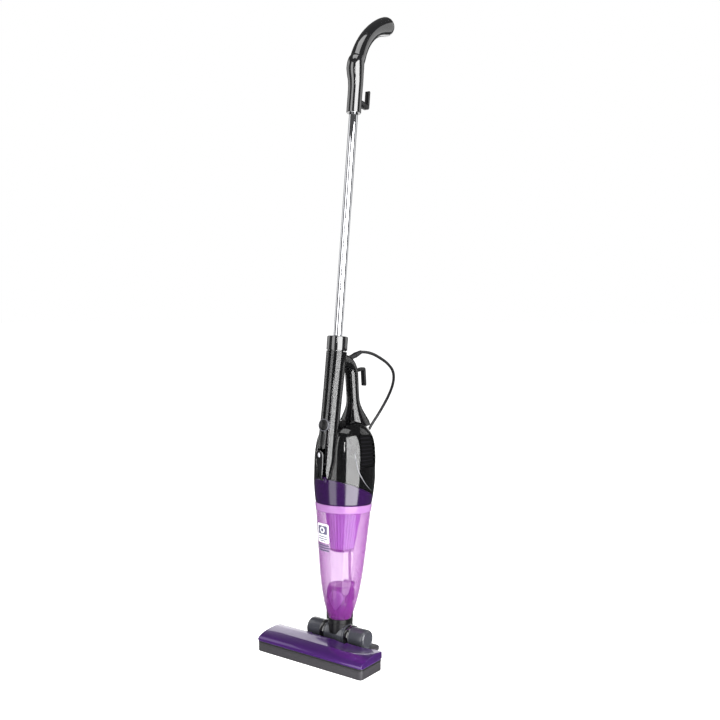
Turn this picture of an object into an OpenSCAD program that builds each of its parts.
// Corded two-in-one stick vacuum cleaner, standing upright.
// Frame: X across the floor head, +Y to the back, +Z up.
// Origin: on the floor, at the centre of the floor head's sole.

/* [Floor head] */
// Width of the floor head
head_w = 232; // [215:1:270]
// Depth of the floor head's front box
head_d = 62; // [58:1:76]
// Height of the textured base
base_h = 20; // [18:1:24]
// Rise of the cover above the base
cover_rise = 13; // [11:1:16]
// Wall of the base
head_wall = 2.4; // [2:0.1:3.5]
// Length of the suction mouth
mouth_w = 196; // [150:1:200]
// Depth of the suction mouth
mouth_d = 14; // [10:1:16]
// Radius of the rear wheels
wheel_r = 9; // [8:0.5:9.5]
// Width of a rear wheel
wheel_w = 12; // [9:1:14]
// Radius of the wheel axles
axle_r = 1.6; // [1.4:0.1:2]

/* [Neck] */
// Distance from the sole's centre back to the tilt axis
neck_back = 62; // [60:1:70]
// Height of the tilt axis above the floor
neck_z = 30; // [29:1:33]
// Radius of the neck's barrel
neck_r = 19.5; // [18.5:0.1:20.5]
// Width of the neck's barrel
neck_w = 44; // [42:1:48]
// Radius of the neck's trunnions
trunnion_r = 11; // [9:0.5:12]
// Radius of the two hinge caps
cap_r = 17.5; // [16.5:0.5:18]
// Length of one hinge cap
cap_len = 41; // [34:1:44]
// Backward lean of the bin and the hand unit, in degrees
lean = 3.2; // [0:0.1:6]

/* [Dust bin] */
// Radius of the bin at its top rim
bin_r = 51; // [48:0.5:54]
// Distance from the tilt axis up to the bin's top rim
bin_top = 239; // [230:1:260]
// Wall of the bin
bin_wall = 2; // [1.6:0.1:2.6]
// Outer radius of the bin's spigot
spigot_r = 18; // [16.5:0.1:18]
// Radius of the inlet tower
tower_r = 23; // [21:0.5:24]
// Height of the inlet tower's rim above the tilt axis
tower_top = 87; // [80:1:96]
// Length of the filter cone
filter_len = 66; // [50:1:72]

/* [Hand unit] */
// Largest radius of the motor housing
house_r = 56; // [54:0.5:60]
// Wall of the moulded shells
shell_wall = 2.2; // [1.8:0.1:2.6]
// Radius of the grip bar
grip_r = 12; // [11:0.5:13]
// Radius of the arch at the top of the grip
arch_r = 28; // [26:1:30]
// Radius of the power button
button_r = 9; // [7:0.5:9.5]
// Travel of the power button
button_travel = 3; // [1.5:0.5:3]
// Radius of the motor can
motor_r = 33; // [30:0.5:34]
// Radius of the impeller
impeller_r = 38; // [32:0.5:39]

/* [Pole and handle] */
// Outer radius of the steel pole
pole_r = 8; // [7.5:0.1:8.5]
// Wall of the steel pole
pole_wall = 1; // [0.8:0.1:1.5]
// Free length of the pole between its collars
pole_free = 403; // [300:1:450]
// Extra lean of the pole against the hand unit, in degrees
pole_lean = 3.65; // [2:0.05:5]
// Radius of the handle's neck
handle_r = 13.3; // [12.5:0.1:14.5]
// Radius of the handle's bow
bow_r = 131; // [110:1:150]
// Gap between a cord hook and the body behind it
hook_gap = 22; // [18:1:26]

/* [Cord] */
// Diameter of the mains lead
cord_d = 5.6; // [5:0.1:6.5]

/* [Hidden] */
$fn = 72;
eps = 0.01;
run_gap = 0.08;   // radial clearance of a turning or sliding fit
part_gap = 0.3;   // clearance between pieces that move apart
seat_gap = 0.05;  // clearance of a piece that is pressed or screwed in its seat

// floor head
lip_h = 1.6;
deck_h = 10;
deck_under = 3;
deck_w = 132;
deck_back = neck_back + 36;
wheel_y = neck_back + 26;
wheel_x = 40;
wheel_pocket = 1.2;
mouth_y = -13;
bristle_y = mouth_d / 2 + 2;
bristle_h = 1.8;
cover_wall = 2;
cap_x = neck_w / 2 + 1;
neck_block_w = 2 * cap_x - 0.2;
foot_w = 20;
screw_r = 1.6;
screw_head_r = 3.2;

// bin, measured along the stick's axis from the tilt axis
spigot_s = 14;
socket_r = 20.5;
socket_top = 28.7;
duct_r = 13;
flare_s = 30;
rim_h = 12;
seam_s = 263;
seam_tilt = 21.8;
seam_gap = 0.4;
lug_s = 280;
filter_r_top = 33.5;
filter_r_bottom = 21;
filter_wall = 2.5;
filter_top = bin_top - rim_h;
flap_t = 1.6;
flap_pin_r = 1.2;
flap_y = tower_r + 3;
flap_s = tower_top + 1.6;

// hand unit
house_mid = 290;
house_top = 388;
spine_y = -50;
spine_s = 282;
collar_p = 231;
collar_h = 26;
collar_r = 19;
collar_gap = 0.9;
spine_turn = 2.2;
spine_top_r = 18.6;
spine_waist_r = 17.2;
spine_foot_r = 18.4;
spine_waist = 100;
spine_len = 195;
button_z = -133;
bezel_w = 2;
latch_z = -185;
latch_turn = 15.2;
latch_w = 17;
latch_len = 47;
latch_t = 3.2;
latch_pin_y = 6;
latch_pin_z = -18;
pin_r = 1.5;
sleeve_wall = 3.5;
arch_y = -16;
arch_s = 467;
grip_turn = 8.1;
bar_len = 78;
vent_lo = 308;
vent_hi = 365;
vent_half = 22;
louvres = 7;
hook_t = 5;
hook_w = 9;
hook_len = 35;
boss_r = 3.6;
boss_reach = 11;

// pole and upper handle, measured along the pole from the spine's foot
pole_low = 152;
handle_p = collar_p + collar_h + pole_free;
handle_neck = 66;
pole_in_handle = 46;
bow_shift = 4;
bow_angle = 68;
bulb_r = 18;
knuckle_r = 15;
hook_p = handle_p + 23;
pivot_r = 3;

// mains lead
hank_len = 158;
hank_w = 51;
hank_h = 39.2;
hank_lift = 1.3;
tie_w = 10;
tie_t = 1.2;
tie_x = 84;
hank_dir = 126.87;
hank_near = 80;
relief_len = 24;
relief_root = 21;
plug_r = 11.5;
plug_x = 14;
lead_sides = 8;
lead_steps = 3;
lead_points = [
    [0, 108, 533], [0, 126, 538], [0, 142, 538], [0, 165, 534], [0, 191, 525], [0, 218, 512],
    [-4, 242, 495], [-16, 260, 472], [-34, 270, 444], [-54, 270, 412], [-72, 260, 378],
    [-84, 248, 340], [-90, 237, 300], [-92, 228, 250], [-93, 222, 200], [-93, 219, 150],
    [-92, 218, 110], [-91, 217, 86], [-88, 213, 67], [-82, 205, 53], [-75, 196, 45], [-67, 186, 42]
];
// the plug's lead, in the frame of the folded lead under it
plug_lead_points = [
    [74, 0, 52], [88, -1, 51.3], [104, -5, 48.6], [119, -11.5, 44.5], [132, -16.6, 40.8]
];

// ---------- frames ----------

// Along the stick: origin on the tilt axis, Z along the bin and the motor.
module on_stick() {
    translate([0, neck_back, neck_z])
        rotate([-lean, 0, 0]) children();
}

// Along the pole: origin at the spine's foot, Z along the pole.
module on_pole() {
    on_stick()
        translate([0, spine_y, spine_s])
            rotate([-pole_lean, 0, 0]) children();
}

// Along the spine: origin below the pole's collar, Z along the spine.
module on_spine() {
    on_pole()
        translate([0, 0, collar_p])
            rotate([-spine_turn, 0, 0]) children();
}

// On the front of the spine, where the bin latch lies.
module on_latch() {
    on_spine()
        translate([0, -spine_foot_r, latch_z])
            rotate([latch_turn, 0, 0]) children();
}

// Along the folded lead on the floor, with X from its near end to its far end.
module on_hank() {
    translate([0, neck_back, 0])
        rotate([0, 0, hank_dir])
            translate([hank_near, 0, 0]) children();
}

// ---------- shared shapes ----------

module tube(h, r_out, r_in) {
    difference() {
        cylinder(h = h, r = r_out);
        translate([0, 0, -1]) cylinder(h = h + 2, r = r_in);
    }
}

module x_cylinder(r, len, x = 0) {
    translate([x, 0, 0])
        rotate([0, 90, 0]) cylinder(h = len, r = r);
}

module slab(w, d, h, r) {
    linear_extrude(h) {
        square([w - 2 * r, d], center = true);
        square([w, d - 2 * r], center = true);
        for (sx = [-1, 1], sy = [-1, 1])
            translate([sx * (w / 2 - r), sy * (d / 2 - r)]) circle(r);
    }
}

// A revolved wall between two radii, each a function of the height.
module revolved(outer, inner) {
    rotate_extrude()
        polygon(concat(outer, [for (i = [len(inner) - 1:-1:0]) inner[i]]));
}

// ---------- profiles ----------

// Outer radius of the transparent bin at a height along the stick.
function bin_radius(s) =
    bin_r - 0.088 * (bin_top - s) - 10.7 * pow((bin_top - s) / (bin_top - 35), 6);

// Outer radius of the ring and the motor housing at a height along the stick.
function house_radius(s) =
    s < house_mid
    ? house_r - (house_r - bin_r - 0.2) * pow((house_mid - s) / (house_mid - bin_top), 1.6)
    : house_r * pow(1 - pow((s - house_mid) / (house_top - house_mid), 4), 0.42);

function house_line(lo, hi, steps, inset) =
    [for (i = [0:steps]) let (s = lo + (hi - lo) * i / steps) [house_radius(s) - inset, s]];

// The rounded top of the motor housing, drawn in by an inset.
function dome_line(inset) =
    concat([for (a = [6:6:78])
               [house_r * pow(1 - pow(sin(a), 4), 0.42) - inset,
                house_mid + (house_top - inset - house_mid) * sin(a)]],
           [[0, house_top - inset]]);

// Outer radius of the spine at a height in its own frame.
function spine_radius(z) =
    z > -spine_waist
    ? spine_waist_r + (spine_top_r - spine_waist_r) * (z + spine_waist) / spine_waist
    : spine_foot_r + (spine_waist_r - spine_foot_r) * (z + spine_len) / (spine_len - spine_waist);

// A point of the spine's axis, and of the grip bar's axis, in the stick's Y and Z.
function spine_point(z) =
    [spine_y + collar_p * sin(pole_lean) + z * sin(pole_lean + spine_turn),
     spine_s + collar_p * cos(pole_lean) + z * cos(pole_lean + spine_turn)];

function bar_point(z) =
    [arch_y + arch_r * cos(grip_turn) - z * sin(grip_turn),
     arch_s + arch_r * sin(grip_turn) + z * cos(grip_turn)];

// ---------- floor head ----------

module cap_profile(y_back) {
    // quarter-round front, then a deck that falls gently to the back
    front = -head_d / 2 + 0.4;
    crown = head_d / 2 - 14;
    steps = 14;
    polygon(concat(
        [[front, base_h]],
        [for (i = [0:steps])
            let (a = 90 * i / steps)
            [crown - (crown - front) * cos(a), base_h + lip_h + (cover_rise - lip_h) * sin(a)]],
        [[y_back, base_h + cover_rise - 1.5], [y_back, base_h]]
    ));
}

module along_x(len) {
    rotate([90, 0, 90]) translate([0, 0, -len / 2]) linear_extrude(len) children();
}

module head_base() {
    color("#4a484c") difference() {
        union() {
            slab(head_w, head_d, base_h, 6);
            translate([-deck_w / 2, head_d / 2 - 2, deck_under])
                cube([deck_w, deck_back - head_d / 2 + 2, deck_h - deck_under]);
            translate([-neck_block_w / 2, head_d / 2 - 2, deck_under])
                cube([neck_block_w, neck_back - head_d / 2 + 2, 21 - deck_under]);
            for (side = [-1, 1], ear = [-1, 1])
                translate([side * wheel_x + ear * (wheel_w / 2 + wheel_pocket + 2) - 2,
                           wheel_y - 5, deck_under])
                    cube([4, 10, wheel_r + 3 - deck_under]);
        }
        translate([0, 0, 3])
            slab(head_w - 2 * head_wall, head_d - 2 * head_wall, base_h, 4);
        translate([-mouth_w / 2, mouth_y - mouth_d / 2, -1]) cube([mouth_w, mouth_d, 6]);
        // grooves that hold the bristle strips
        for (edge = [-1, 1])
            translate([-mouth_w / 2 - 1, mouth_y + edge * bristle_y - 1 - seat_gap, -1])
                cube([mouth_w + 2, 2 + 2 * seat_gap, 1 + bristle_h + 2 * seat_gap]);
        // seat of the neck's barrel and the duct under it
        translate([0, neck_back, neck_z])
            x_cylinder(neck_r + 0.7, neck_w + 2, -neck_w / 2 - 1);
        translate([-18, head_d / 2 - 6, 5]) cube([36, neck_back - head_d / 2 + 12, 11]);
        // wheel pockets and axle bores
        for (side = [-1, 1])
            translate([side * wheel_x - wheel_w / 2 - wheel_pocket,
                       wheel_y - wheel_r - wheel_pocket, -1])
                cube([wheel_w + 2 * wheel_pocket, 2 * (wheel_r + wheel_pocket), 20]);
        for (side = [-1, 1])
            translate([side * wheel_x, wheel_y, wheel_r])
                x_cylinder(axle_r + seat_gap, wheel_w + 14, -wheel_w / 2 - 7);
        head_screw_places() translate([0, 0, -8]) cylinder(h = 30, r = screw_r + seat_gap);
    }
}

module head_cover() {
    color("#5a2a86") difference() {
        intersection() {
            along_x(head_w) cap_profile(head_d / 2);
            slab(head_w - 0.6, head_d, base_h + cover_rise + 1, 6);
        }
        // hollow over the suction chamber, with solid stock behind it for the neck's scoop
        intersection() {
            along_x(head_w - 2 * cover_wall)
                translate([0, -cover_wall]) cap_profile(head_d / 2 - cover_wall);
            slab(head_w - 2 * cover_wall - 2, head_d - 2 * cover_wall, base_h + 40, 4);
            union() {
                translate([-head_w / 2, -head_d / 2, 0]) cube([head_w, head_d / 2 + 10, 60]);
                for (side = [-1, 1])
                    translate([side * head_w / 4 - 20 + side * 16, 0, 0]) cube([40, head_d / 2, 60]);
            }
        }
        // scoop around the neck
        translate([0, neck_back, neck_z + 4])
            x_cylinder(neck_r + 17, neck_w + 34, -neck_w / 2 - 17);
    }
}

module bumper_strip() {
    color("#1c1a1d") difference() {
        translate([0, 0, base_h - 4.2]) slab(head_w + 1.4, head_d + 1.4, 2.6, 6.7);
        translate([0, 0, base_h - 6]) slab(head_w + 0.02, head_d + 0.02, 6, 6);
        translate([-neck_block_w / 2 - 0.2, 0, 0]) cube([neck_block_w + 0.4, head_d, base_h]);
    }
}

module bristle_strips() {
    color("#222222")
        for (edge = [-1, 1])
            translate([-mouth_w / 2, mouth_y + edge * bristle_y - 1, seat_gap])
                cube([mouth_w, 2, bristle_h]);
}

module hinge_cap(side) {
    mirror([side < 0 ? 1 : 0, 0, 0]) difference() {
        union() {
            translate([0, neck_back, neck_z]) x_cylinder(cap_r, cap_len, cap_x);
            translate([0, neck_back, neck_z]) x_cylinder(cap_r + 1, 9, cap_x);
            translate([cap_x + 3, neck_back - foot_w / 2, deck_h])
                cube([cap_len - 6, foot_w, neck_z - deck_h - trunnion_r - 2]);
        }
        translate([0, neck_back, neck_z])
            x_cylinder(trunnion_r + run_gap, cap_len - 4, cap_x - 1);
        translate([cap_x + cap_len / 2, neck_back, deck_h - 1]) cylinder(h = 6, r = screw_r + seat_gap);
    }
}

module hinge_cap_left() { color("#55535a") hinge_cap(-1); }
module hinge_cap_right() { color("#55535a") hinge_cap(1); }

module head_screw_places() {
    for (side = [-1, 1])
        translate([side * (cap_x + cap_len / 2), neck_back, deck_h]) children();
}

module head_screws() {
    color("#9a9a9e") head_screw_places() {
        translate([0, 0, deck_under - deck_h - 0.1]) cylinder(h = 11.6, r = screw_r);
        translate([0, 0, deck_under - deck_h - 1.6]) cylinder(h = 1.6, r = screw_head_r);
    }
}

module wheel_axles() {
    color("#b0b0b4")
        for (side = [-1, 1])
            translate([side * wheel_x, wheel_y, wheel_r])
                x_cylinder(axle_r, wheel_w + 13, -wheel_w / 2 - 6.5);
}

module wheel(side) {
    color("#2b2a2d") translate([side * wheel_x - wheel_w / 2, wheel_y, wheel_r])
        rotate([0, 90, 0]) difference() {
            union() {
                cylinder(h = wheel_w, r = wheel_r - 1);
                translate([0, 0, 1.5]) cylinder(h = wheel_w - 3, r = wheel_r);
            }
            translate([0, 0, -1]) cylinder(h = wheel_w + 2, r = axle_r + run_gap);
            for (end = [-1, wheel_w - 2])
                translate([0, 0, end]) tube(3, wheel_r - 3, axle_r + 2);
        }
}

module wheel_left() { wheel(-1); }
module wheel_right() { wheel(1); }

// ---------- neck ----------

module neck_elbow() {
    color("#333237") on_stick() difference() {
        union() {
            x_cylinder(neck_r, neck_w, -neck_w / 2);
            x_cylinder(trunnion_r, 2 * (cap_x + cap_len - 6), -cap_x - cap_len + 6);
            translate([0, 0, 3]) cylinder(h = socket_top - 3, r = socket_r);
        }
        translate([0, 0, spigot_s - part_gap]) cylinder(h = 40, r = spigot_r + run_gap);
        translate([0, 0, -30]) cylinder(h = 60, r = duct_r);
    }
}

module neck_seals() {
    color("#151515") on_stick()
        for (side = [0, 1])
            mirror([side, 0, 0])
                translate([cap_x - 1 + 0.1, 0, 0]) rotate([0, 90, 0]) tube(0.8, trunnion_r + 4, trunnion_r);
}

// ---------- dust bin ----------

// Outer line of the bin, which thickens into a band at its rim.
function bin_line(lo, hi, steps, inset) =
    [for (i = [0:steps]) let (s = lo + (hi - lo) * i / steps) [bin_radius(s) - inset, s]];

module bin_cup() {
    band = bin_top - rim_h;
    ledge = socket_top + part_gap;
    color("#b98fd0", 0.5) on_stick()
        revolved(
            concat([[spigot_r, spigot_s], [spigot_r, ledge], [bin_radius(flare_s + 1), ledge]],
                   bin_line(flare_s + 3, band, 24, 0),
                   [[bin_radius(band) + 0.8, band + 0.8], [bin_r + 0.8, bin_top]]),
            concat([[spigot_r - bin_wall, spigot_s], [spigot_r - bin_wall, flare_s + 3]],
                   bin_line(flare_s + 5, bin_top, 24, bin_wall)));
}

module inlet_tower() {
    skin = spigot_r - bin_wall - seat_gap;
    outer = [[skin, spigot_s], [skin, 33], [19, 42], [tower_r - 0.8, 54], [tower_r, 66],
             [tower_r, tower_top]];
    inner = [for (p = outer) [p[0] - 1.8, p[1]]];
    color("#4b1f6e") on_stick() {
        revolved(outer, inner);
        // ribs that stand in the bin's foot
        for (a = [0:60:300])
            rotate([0, 0, a + 30]) translate([tower_r - 1, -0.8, 60]) cube([3, 1.6, tower_top - 64]);
        // two ears hold the flap's pin
        for (side = [-1, 1])
            translate([side * 9 - 1.5, tower_r - 1.5, tower_top - 5]) difference() {
                cube([3, 7, 9]);
                translate([-1, 4.5, 6.6]) x_cylinder(flap_pin_r + run_gap, 5);
                // room for the flap's edge as it swings
                translate([-1, -1, 5.2]) cube([5, 1.6, 5]);
            }
    }
}

module inlet_flap() {
    color("#5d3382") on_stick() {
        translate([0, 0, tower_top + 0.3]) cylinder(h = flap_t, r = tower_r - 0.5);
        translate([-6.5, tower_r - 4, tower_top + 0.3]) cube([13, 7, flap_t]);
        translate([0, flap_y, flap_s]) x_cylinder(flap_pin_r, 21.6, -10.8);
        translate([0, flap_y, flap_s]) x_cylinder(flap_pin_r + 0.8, 13, -6.5);
    }
}

module below_seam(gap) {
    translate([0, 0, seam_s])
        rotate([-seam_tilt, 0, 0]) translate([-100, -100, -200 - gap / 2]) cube([200, 200, 200]);
}

module above_seam(gap) {
    translate([0, 0, seam_s])
        rotate([-seam_tilt, 0, 0]) translate([-100, -150, gap / 2]) cube([200, 300, 400]);
}

module bin_ring() {
    color("#3f1a61") on_stick() {
        intersection() {
            revolved(house_line(bin_top, house_mid, 10, 0), house_line(bin_top, house_mid, 10, shell_wall));
            below_seam(seam_gap);
        }
        // lug that the latch holds
        translate([-4, -house_r - 6.5, lug_s]) cube([8, 8.5, 10]);
        translate([-4, -house_r - 7.9, lug_s + 7.6]) cube([8, 3, 2.4]);
    }
}

module filter_frame() {
    // plate across the bin's rim, with a sleeve that the ring holds
    edge = bin_r - bin_wall - 0.2;
    low = filter_top + 1;
    color("#c7a8da") on_stick()
        rotate_extrude()
            polygon([[filter_r_top + part_gap, low], [bin_radius(low) - bin_wall - 0.2, low],
                     [edge, bin_top], [edge, bin_top + 5], [edge - 2, bin_top + 5],
                     [edge - 2, low + 3], [filter_r_top + part_gap, low + 3]]);
}

module filter_cup() {
    low = filter_top - filter_len - 10;
    brim = filter_top + 4;
    color("#5b2d80") on_stick()
        rotate_extrude()
            polygon([[0, low], [filter_r_bottom, low], [filter_r_top, filter_top],
                     [filter_r_top, brim], [filter_r_top + 4, brim], [filter_r_top + 4, brim + 2],
                     [filter_r_top - filter_wall, brim + 2], [filter_r_top - filter_wall, filter_top],
                     [filter_r_bottom - filter_wall, low + filter_wall], [0, low + filter_wall]]);
}

module foam_filter() {
    color("#d8d6dc") on_stick()
        translate([0, 0, filter_top + 6]) cylinder(h = 9, r = bin_r - bin_wall - 2.2 - seat_gap);
}

module label_plate() {
    // plain sticker on the front of the bin
    size = 31;
    color("#f2f2f5") on_stick()
        rotate([0, 0, -104])
            intersection() {
                revolved([for (s = [168, 206]) [bin_radius(s) + 0.45, s]],
                         [for (s = [168, 206]) [bin_radius(s) + 0.08, s]]);
                translate([30, -size / 2, 170]) cube([30, size, 34]);
            }
}

// ---------- hand unit ----------

// Outer form of the hand unit, drawn in by an inset for its hollow.
module hand_shape(inset) {
    on_stick() {
        rotate_extrude()
            polygon(concat([[0, bin_top]], house_line(bin_top, house_mid, 8, inset), dome_line(inset)));
        // grip: arch, then bar and flared root
        translate([0, -34, arch_s + arch_r])
            rotate([-90, 0, 0]) cylinder(h = 34 + arch_y, r = grip_r - inset);
        translate([0, arch_y, arch_s])
            rotate([90, 0, 90])
                rotate([0, 0, grip_turn - 1])
                    rotate_extrude(angle = 92 - grip_turn)
                        translate([arch_r, 0]) circle(grip_r + 0.15 - inset);
        on_bar()
            rotate_extrude()
                polygon([[0, 0], [grip_r - inset, 0], [grip_r - inset, 26 - bar_len],
                         [30 - inset, -bar_len - 16], [0, -bar_len - 16]]);
    }
    on_spine()
        rotate_extrude()
            polygon([[0, -spine_len - 40], [9 - inset, -spine_len - 40],
                     [spine_foot_r - inset, -spine_len], [spine_waist_r - inset, -spine_waist],
                     [spine_radius(inset > 0 ? -24 : 0) - inset, inset > 0 ? -24 : 0],
                     [0, inset > 0 ? -24 : 0]]);
}

// Top of the grip bar, with Z up along the bar.
module on_bar() {
    translate([0, arch_y + arch_r * cos(grip_turn), arch_s + arch_r * sin(grip_turn)])
        rotate([grip_turn, 0, 0]) children();
}

module boss_places() {
    edge = house_r - boss_reach;
    on_stick()
        for (b = [[-edge, 302], [edge, 300], [arch_y + 4, arch_s + arch_r - 1], bar_point(-67),
                  [house_r / 2, house_top - 17], spine_point(-109)])
            translate([0, b[0], b[1]]) children();
}

module louvre_cuts(lo, hi, r_in, r_out, half) {
    pitch = (hi - lo) / louvres;
    for (i = [0:louvres - 1])
        translate([0, 0, lo + (i + 0.3) * pitch])
            rotate([0, 0, -half])
                rotate_extrude(angle = 2 * half) translate([r_in, 0]) square([r_out - r_in, 0.42 * pitch]);
}

module hand_half(side) {
    difference() {
        union() {
            difference() {
                hand_shape(0);
                hand_shape(shell_wall);
            }
            intersection() {
                hand_shape(shell_wall / 2);
                union() {
                    boss_places() x_cylinder(boss_r, 120, -60);
                    on_latch()
                        for (ear = [-1, 1])
                            translate([ear * (latch_w / 2 + 2.8) - 1.5, 0, latch_pin_z - 5]) cube([3, 11, 10]);
                }
            }
        }
        // the other half, and the bin's side of the seam
        translate([side > 0 ? -200 : 0, -100, 0]) cube([200, 500, 700]);
        on_stick() below_seam(-seam_gap);
        boss_places() x_cylinder(screw_r, 140, -70);
        // pole sleeve, vent window, button hole, latch pocket and pin, hook's tongue, lead
        on_pole() translate([0, 0, pole_low - 4]) cylinder(h = 120, r = pole_r + sleeve_wall + seat_gap);
        on_stick()
            rotate([0, 0, (side > 0 ? 0 : 180) - vent_half - 0.4])
                rotate_extrude(angle = 2 * vent_half + 0.8)
                    translate([30, vent_lo - 0.3]) square([40, vent_hi - vent_lo + 0.6]);
        on_spine() translate([0, 0, button_z]) rotate([90, 0, 0])
            cylinder(h = 40, r = button_r + bezel_w + seat_gap);
        on_latch() {
            translate([-latch_w / 2 - 0.8, -8, -latch_len - 8]) cube([latch_w + 1.6, 19, latch_len + 18]);
            translate([0, latch_pin_y, latch_pin_z]) x_cylinder(pin_r + seat_gap, 40, -20);
        }
        on_stick() on_bar() hook_tongue(seat_gap);
        relief_place() translate([0, 0, -relief_root]) cylinder(h = 40, r = cord_d / 2 + 1.8 + seat_gap);
    }
}

module housing_left() { color("#1b1a1d") hand_half(-1); }
module housing_right() { color("#1b1a1d") hand_half(1); }

module pole_collar() {
    color("#232225") on_pole() difference() {
        translate([0, 0, collar_p + collar_gap]) cylinder(h = collar_h - collar_gap, r = collar_r);
        translate([0, 0, collar_p - 1]) cylinder(h = 60, r = pole_r + sleeve_wall + seat_gap);
    }
}

module pole_sleeve() {
    color("#2e2d31") on_pole() difference() {
        translate([0, 0, pole_low - 4]) cylinder(h = collar_p + collar_h - pole_low + 4, r = pole_r + sleeve_wall);
        translate([0, 0, pole_low - 0.3]) cylinder(h = 200, r = pole_r + run_gap);
    }
}

module housing_screws() {
    color("#9a9a9e") boss_places() {
        x_cylinder(screw_r - 0.02, 24, -12);
    }
}

module vent_sector(half, inset_out, inset_in) {
    rotate([0, 0, -half])
        rotate_extrude(angle = 2 * half)
            polygon(concat(house_line(vent_lo, vent_hi, 8, inset_out),
                           [for (i = [8:-1:0]) let (s = vent_lo + (vent_hi - vent_lo) * i / 8)
                               [house_radius(s) - inset_in, s]]));
}

module vent_grilles() {
    color("#201f22") on_stick()
        for (turn = [0, 180])
            rotate([0, 0, turn]) difference() {
                vent_sector(vent_half, 0.6, shell_wall + 0.6);
                louvre_cuts(vent_lo + 1, vent_hi - 1, 30, 70, vent_half - 3);
            }
}

module exhaust_foam() {
    color("#3a393d") on_stick()
        for (turn = [0, 180])
            rotate([0, 0, turn]) vent_sector(vent_half - 2, shell_wall + 0.9, shell_wall + 4.5);
}

module motor_can() {
    color("#8f9196") on_stick() difference() {
        union() {
            translate([0, 0, 286]) cylinder(h = 56, r = motor_r);
        }
        translate([0, 0, 288]) cylinder(h = 52, r = motor_r - 2);
        translate([0, 0, 280]) cylinder(h = 20, r = 8);
        translate([0, 0, 335]) cylinder(h = 20, r = 8);
        for (a = [0:60:300])
            rotate([0, 0, a + 30]) translate([motor_r - 4, -6, 296]) cube([8, 12, 26]);
    }
}

module fan_cover() {
    color("#c9cacd") on_stick()
        revolved([[15, 262], [41, 264], [43.5, 268], [43.5, 285.7], [10, 285.7]],
                 [[15, 262], [15, 264], [40, 266], [41.5, 269], [41.5, 283.7], [10, 283.7], [10, 285.7]]);
}

module motor_mount() {
    color("#151515") on_stick()
        revolved([[motor_r + 0.05, 322], [house_radius(330) - shell_wall - 5.2, 322],
                  [house_radius(330) - shell_wall - 5.2, 330], [motor_r + 0.05, 330]],
                 [[motor_r + 0.05, 322], [motor_r + 0.05, 330]]);
}

module front_bearing() {
    color("#b5b7bb") on_stick() translate([0, 0, 288]) tube(6, 8, 3 + run_gap);
}

module rear_bearing() {
    color("#b5b7bb") on_stick() translate([0, 0, 335]) tube(5, 8, 3 + run_gap);
}

module carbon_brushes() {
    color("#303030") on_stick()
        for (turn = [0, 180])
            rotate([0, 0, turn]) translate([11.4, -3, 327]) cube([motor_r - 2.3 - 11.4, 6, 5]);
}

module switch_block() {
    color("#2b2b2b") on_spine()
        translate([-7, -7.6, button_z - 9]) cube([14, 16, 18]);
}

module inner_lead() {
    color("#d5d5d8") on_spine() {
        translate([-3, 0, button_z - 60]) cylinder(h = 50.8, r = 1.3);
        translate([3, 0, button_z - 60]) cylinder(h = 50.8, r = 1.3);
    }
}

module button_bezel() {
    color("#3a393d") on_spine()
        translate([0, -12.5, button_z]) rotate([90, 0, 0])
            tube(6.2, button_r + bezel_w, button_r + part_gap);
}

module power_button() {
    color("#2a292c") on_spine()
        translate([0, -10.9, button_z]) rotate([90, 0, 0]) {
            cylinder(h = 1.3, r = button_r + 1.3);
            cylinder(h = 7.8, r = button_r);
            translate([0, 0, 7.8 - eps]) cylinder(h = 0.9, r = button_r - 1.2);
        }
}

module front_inlay() {
    color("#0e0e10") on_spine()
        intersection() {
            revolved([for (z = [-171, -148]) [spine_radius(z) + 0.6, z]],
                     [for (z = [-171, -148]) [spine_radius(z) + 0.03, z]]);
            translate([-5.5, -30, -172]) cube([11, 30, 30]);
        }
}

module latch_outline(grow) {
    hull() {
        circle(latch_w / 2 + grow);
        translate([0, -latch_len + 2]) circle(2 + grow);
    }
}

module bin_latch() {
    color("#2a292c") on_latch() difference() {
        union() {
            translate([0, -1.2, 0]) rotate([90, 0, 0]) linear_extrude(latch_t) latch_outline(0);
            translate([-4, -1.3, latch_pin_z - 4]) cube([8, latch_pin_y + 5, 8]);
            translate([-3, -1.3, -latch_len + 0.4]) cube([6, 2.6, 3]);
        }
        translate([0, latch_pin_y, latch_pin_z]) x_cylinder(pin_r + run_gap, 30, -15);
    }
}

module latch_pin() {
    color("#b0b0b4") on_latch()
        translate([0, latch_pin_y, latch_pin_z]) x_cylinder(pin_r, 24, -12);
}

// Arm of the lower hook, which is held in a slot of the grip's back.
module hook_tongue(gap) {
    translate([-hook_w / 2 - gap, grip_r - 4, 2 - gap])
        cube([hook_w + 2 * gap, hook_gap + 4 + eps, 6 + 2 * gap]);
}

module lower_cord_hook() {
    color("#1d1c1f") on_stick() on_bar() {
        hook_tongue(0);
        translate([-hook_w / 2, grip_r + hook_gap, 8 - hook_len]) cube([hook_w, hook_t, hook_len]);
    }
}

// ---------- motor's turning parts ----------

module motor_shaft() {
    color("#c4c6ca") on_stick() translate([0, 0, 266.5]) cylinder(h = 75, r = 3);
}

module armature() {
    color("#6d6a66") on_stick() translate([0, 0, 298]) difference() {
        tube(24, 20, 3);
        for (a = [0:45:315])
            rotate([0, 0, a]) translate([15, -1.5, -1]) cube([8, 3, 26]);
    }
}

module commutator() {
    color("#b87333") on_stick() translate([0, 0, 325]) tube(9, 11, 3);
}

module impeller() {
    color("#dfe0e3") on_stick() translate([0, 0, 268]) {
        tube(1.4, impeller_r, 3);
        translate([0, 0, 12]) tube(1.4, impeller_r, 14);
        for (a = [0:40:320])
            rotate([0, 0, a]) translate([15, -1, 1.4 - eps]) cube([impeller_r - 16, 1.4, 10.6 + 2 * eps]);
        translate([0, 0, 1.4 - eps]) tube(8, 7, 3);
    }
}

// ---------- pole and upper handle ----------

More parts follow.
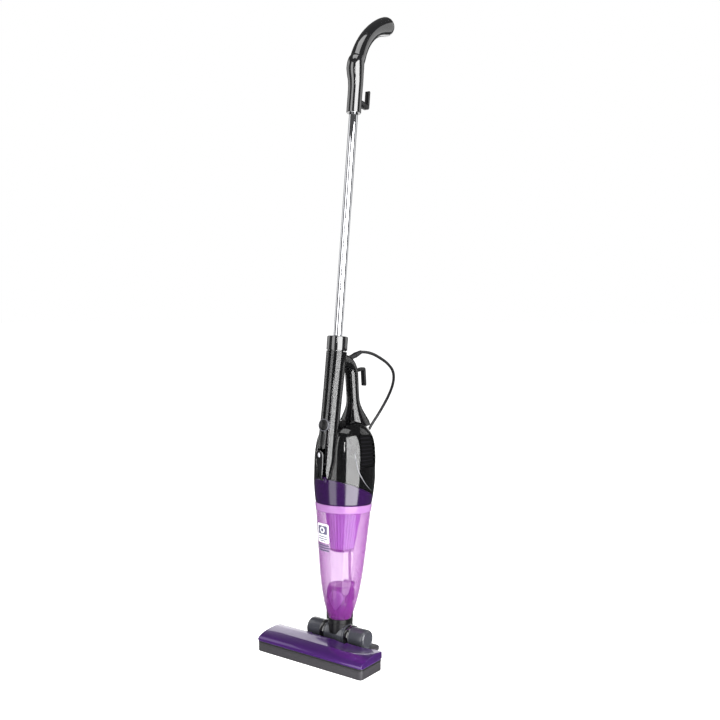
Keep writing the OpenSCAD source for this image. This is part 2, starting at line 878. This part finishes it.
module pole() {
    color("#c8cacd") on_pole()
        translate([0, 0, pole_low])
            tube(handle_p + pole_in_handle - 0.3 - pole_low, pole_r, pole_r - pole_wall);
}

module handle_shape(inset) {
    on_pole() {
        translate([0, 0, handle_p + (inset > 0 ? pole_in_handle + 4 : 0)])
            cylinder(h = handle_neck - (inset > 0 ? pole_in_handle + 4 : 0), r = handle_r - inset);
        translate([0, -bow_shift - 4, handle_p + handle_neck + 13]) sphere(r = knuckle_r + 2.5 - inset);
        translate([0, bow_r - bow_shift, handle_p + handle_neck - eps])
            rotate([90, 0, -90])
                rotate_extrude(angle = bow_angle) translate([bow_r, 0]) circle(handle_r + 0.2 - inset);
        translate([0, bow_r - bow_shift - bow_r * cos(bow_angle), handle_p + handle_neck + bow_r * sin(bow_angle)])
            sphere(r = bulb_r - inset);
    }
}

module handle_boss_places() {
    on_pole()
        for (a = [16, 40, 64])
            translate([0, bow_r - bow_shift - bow_r * cos(a), handle_p + handle_neck + bow_r * sin(a)])
                children();
}

module handle_half(side) {
    difference() {
        union() {
            difference() {
                handle_shape(0);
                handle_shape(shell_wall + 0.2);
            }
            intersection() {
                handle_shape(shell_wall / 2);
                handle_boss_places() x_cylinder(boss_r, 60, -30);
            }
        }
        translate([side > 0 ? -100 : 0, -100, 800]) cube([100, 500, 600]);
        on_pole() translate([0, 0, handle_p - 1]) cylinder(h = pole_in_handle + 1, r = pole_r + seat_gap);
        handle_boss_places() x_cylinder(screw_r, 80, -40);
        on_pole() translate([0, 0, hook_p]) rotate([-90, 0, 0]) cylinder(h = 40, r = pivot_r + seat_gap);
    }
}

module handle_left() { color("#151416") handle_half(-1); }
module handle_right() { color("#151416") handle_half(1); }

module handle_screws() {
    color("#9a9a9e") handle_boss_places() x_cylinder(screw_r - 0.02, 18, -9);
}

module hook_pivot() {
    color("#2c2b2f") on_pole()
        translate([0, pole_r + 1.2, hook_p]) rotate([-90, 0, 0])
            cylinder(h = handle_r - pole_r + 8.5, r = pivot_r);
}

module upper_cord_hook() {
    face = handle_r + 0.5;
    color("#1d1c1f") on_pole() translate([0, face, hook_p]) difference() {
        union() {
            rotate([-90, 0, 0]) cylinder(h = 12, r = 6.5);
            translate([-hook_w / 2, 5, -6]) cube([hook_w, hook_gap - 5 + eps, 8]);
            translate([-hook_w / 2, hook_gap, -6]) cube([hook_w, hook_t, hook_len]);
        }
        translate([0, -1, 0]) rotate([-90, 0, 0]) cylinder(h = 10.4, r = pivot_r + run_gap);
    }
}

// ---------- mains lead ----------

function unit(v) = v / norm(v);

// A point on the smooth curve through points, u of the way from point i to point i + 1.
function along(points, i, u) =
    let (n = len(points) - 1,
         a = points[max(i - 1, 0)], b = points[i], c = points[min(i + 1, n)],
         d = points[min(i + 2, n)])
    0.5 * (2 * b + (c - a) * u + (2 * a - 5 * b + 4 * c - d) * u * u
           + (3 * b - a - 3 * c + d) * u * u * u);

function curve(points, steps) =
    concat([for (i = [0:len(points) - 2]) for (k = [0:steps - 1]) along(points, i, k / steps)],
           [points[len(points) - 1]]);

// A round lead swept along points, closed at both ends.
module lead(points, d, sides, ref) {
    n = len(points);
    rings = [for (i = [0:n - 1])
        let (t = unit(points[min(i + 1, n - 1)] - points[max(i - 1, 0)]),
             u = unit(cross(t, ref)), v = cross(t, u))
        for (k = [0:sides - 1])
            points[i] + d / 2 * (cos(360 * k / sides) * u + sin(360 * k / sides) * v)];
    walls = [for (i = [0:n - 2]) for (k = [0:sides - 1])
        let (j = (k + 1) % sides)
        [i * sides + k, i * sides + j, (i + 1) * sides + j, (i + 1) * sides + k]];
    ends = [[for (k = [sides - 1:-1:0]) k], [for (k = [0:sides - 1]) (n - 1) * sides + k]];
    polyhedron(points = rings, faces = concat(walls, ends), convexity = 6);
}

// The lead's first stretch, with Z along it.
module relief_place() {
    rise = lead_points[1] - lead_points[0];
    translate(lead_points[0])
        rotate([-atan2(rise[1], rise[2]), 0, 0]) children();
}

module strain_relief() {
    color("#141315") relief_place() difference() {
        union() {
            translate([0, 0, -relief_root]) cylinder(h = relief_root + 2, r = cord_d / 2 + 1.8);
            translate([0, 0, 2 - eps]) cylinder(h = relief_len - 4, r1 = cord_d / 2 + 2.4, r2 = cord_d / 2 + 0.7);
        }
        translate([0, 0, -eps]) cylinder(h = 60, r = cord_d / 2 + 0.5);
    }
}

module cord_run() {
    color("#1a191b") lead(curve(lead_points, lead_steps), cord_d, lead_sides, [1, 0.35, 0]);
}

module cord_hank() {
    color("#1a191b") on_hank()
        translate([0, 0, hank_lift])
            linear_extrude(hank_h) {
                for (x = [hank_w / 2, hank_len - hank_w / 2])
                    translate([x, 0]) circle(hank_w / 2);
                translate([hank_w / 2, -hank_w / 2]) square([hank_len - hank_w, hank_w]);
            }
}

module cord_tie() {
    color("#2a292c") on_hank()
        translate([tie_x, 0, 0]) difference() {
            translate([0, -hank_w / 2 - tie_t, hank_lift - tie_t])
                cube([tie_w, hank_w + 2 * tie_t, hank_h + 2 * tie_t]);
            translate([-1, -hank_w / 2, hank_lift]) cube([tie_w + 2, hank_w, hank_h]);
        }
}

module plug_body() {
    color("#1a191b") on_hank()
        translate([plug_x + 18, 0, hank_lift + hank_h + plug_r]) rotate([0, 90, 0]) {
            cylinder(h = 28, r = plug_r);
            translate([0, 0, 28 - eps]) cylinder(h = 14, r1 = 7, r2 = 4.2);
        }
}

module plug_pins() {
    color("#c9a24a") on_hank()
        for (y = [-1, 1])
            translate([plug_x, y * 9.5 * 0.7, hank_lift + hank_h + plug_r]) rotate([0, 90, 0]) cylinder(h = 18, r = 2.2);
}

module plug_lead() {
    color("#1a191b") on_hank() lead(curve(plug_lead_points, 2), cord_d, lead_sides, [0, 0.3, 1]);
}

// ---------- nodes ----------

head_base();
head_cover();
bumper_strip();
bristle_strips();
hinge_cap_left();
hinge_cap_right();
head_screws();
wheel_axles();
wheel_left();
wheel_right();
neck_elbow();
neck_seals();
bin_cup();
inlet_tower();
inlet_flap();
bin_ring();
filter_frame();
filter_cup();
foam_filter();
label_plate();
housing_left();
housing_right();
pole_collar();
pole_sleeve();
housing_screws();
vent_grilles();
exhaust_foam();
motor_can();
fan_cover();
motor_mount();
front_bearing();
rear_bearing();
carbon_brushes();
switch_block();
inner_lead();
button_bezel();
front_inlay();
latch_pin();
lower_cord_hook();
power_button();
bin_latch();
motor_shaft();
armature();
commutator();
impeller();
pole();
handle_left();
handle_right();
handle_screws();
hook_pivot();
upper_cord_hook();
strain_relief();
cord_run();
cord_hank();
cord_tie();
plug_body();
plug_pins();
plug_lead();
